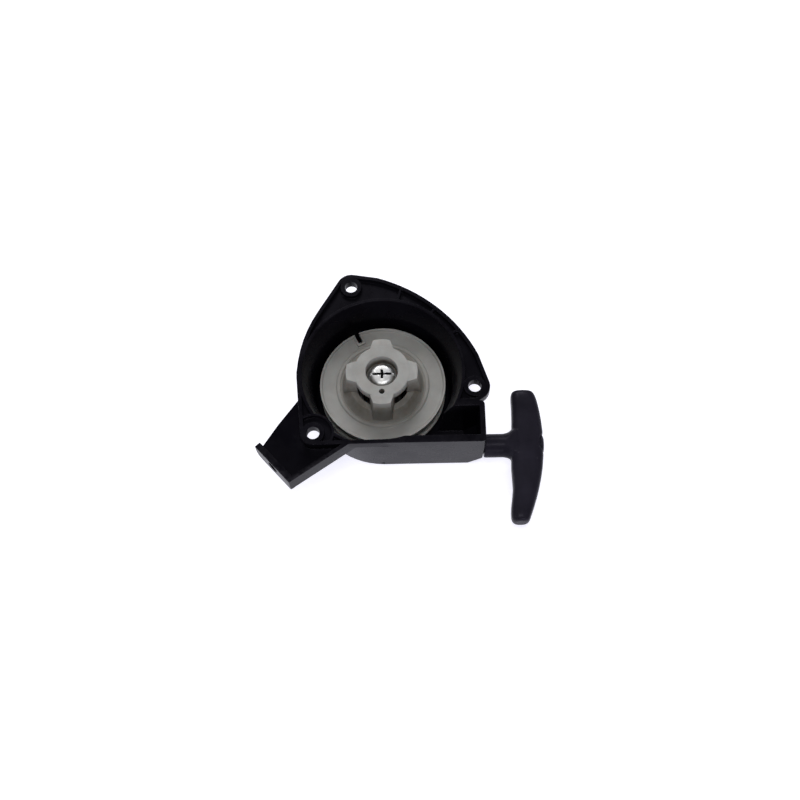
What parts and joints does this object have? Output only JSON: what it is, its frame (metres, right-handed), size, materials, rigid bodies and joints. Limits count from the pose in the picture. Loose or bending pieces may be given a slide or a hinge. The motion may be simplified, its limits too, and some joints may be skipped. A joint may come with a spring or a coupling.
{
  "type": "recoil starter",
  "caption": "Moulded recoil starter case for a small engine, with a sprung rope reel, a drive hub, a T-shaped pull grip and a side bracket arm.",
  "frame": {"origin": "centre of the case's flat back, on the reel's axis", "axes": "+Z along the reel's axis from the back towards the open side that bolts to the engine; +X the way the rope is pulled; the rope's line and the bracket arm are on the -Y side"},
  "size_m": [0.1329, 0.1208, 0.032],
  "materials": {
    "case_plastic": "moulded black nylon, fine grain, satin",
    "grip_plastic": "smooth black plastic, half gloss",
    "reel_nylon": "natural grey-white nylon, satin",
    "zinc": "bright zinc plate",
    "spring_steel": "blued spring strip, oiled",
    "cup_steel": "pressed sheet steel, dull zinc",
    "rope_fibre": "braided nylon cord, grey with a darker fleck"
  },
  "bodies": {
    "case": {"starter_case": "case_plastic", "rope_guide": "zinc", "spring_cup": "cup_steel", "recoil_spring": "spring_steel", "centre_washer": "zinc", "centre_screw": "zinc"},
    "reel": {"reel": "reel_nylon", "rope_winding": "rope_fibre", "reel_knot": "rope_fibre"},
    "rope_end": {"rope_lead": "rope_fibre", "grip_knot": "rope_fibre"},
    "grip": {"grip": "grip_plastic", "grip_cap": "grip_plastic", "knot_washer": "zinc"}
  },
  "joints": [
    {"name": "reel_spin", "type": "hinge", "parent": "case", "child": "reel", "pos_m": [0, 0, 0.012], "axis": [0, 0, 1], "range_deg": [0, 1400], "stiffness_Nm_per_rad": 0.01, "springref_deg": -572.96},
    {"name": "handle_pull", "type": "slide", "parent": "case", "child": "rope_end", "axis": [1, 0, 0], "range_m": [0, 0.62], "deforming": ["rope_lead"]},
    {"name": "grip_swivel", "type": "hinge", "parent": "rope_end", "child": "grip", "pos_m": [0.0469, -0.0303, 0.0115], "axis": [1, 0, 0], "continuous": true}
  ],
  "couplings": [
    {"joint": "handle_pull", "follows": "reel_spin", "m_per_rad": 0.0251}
  ]
}
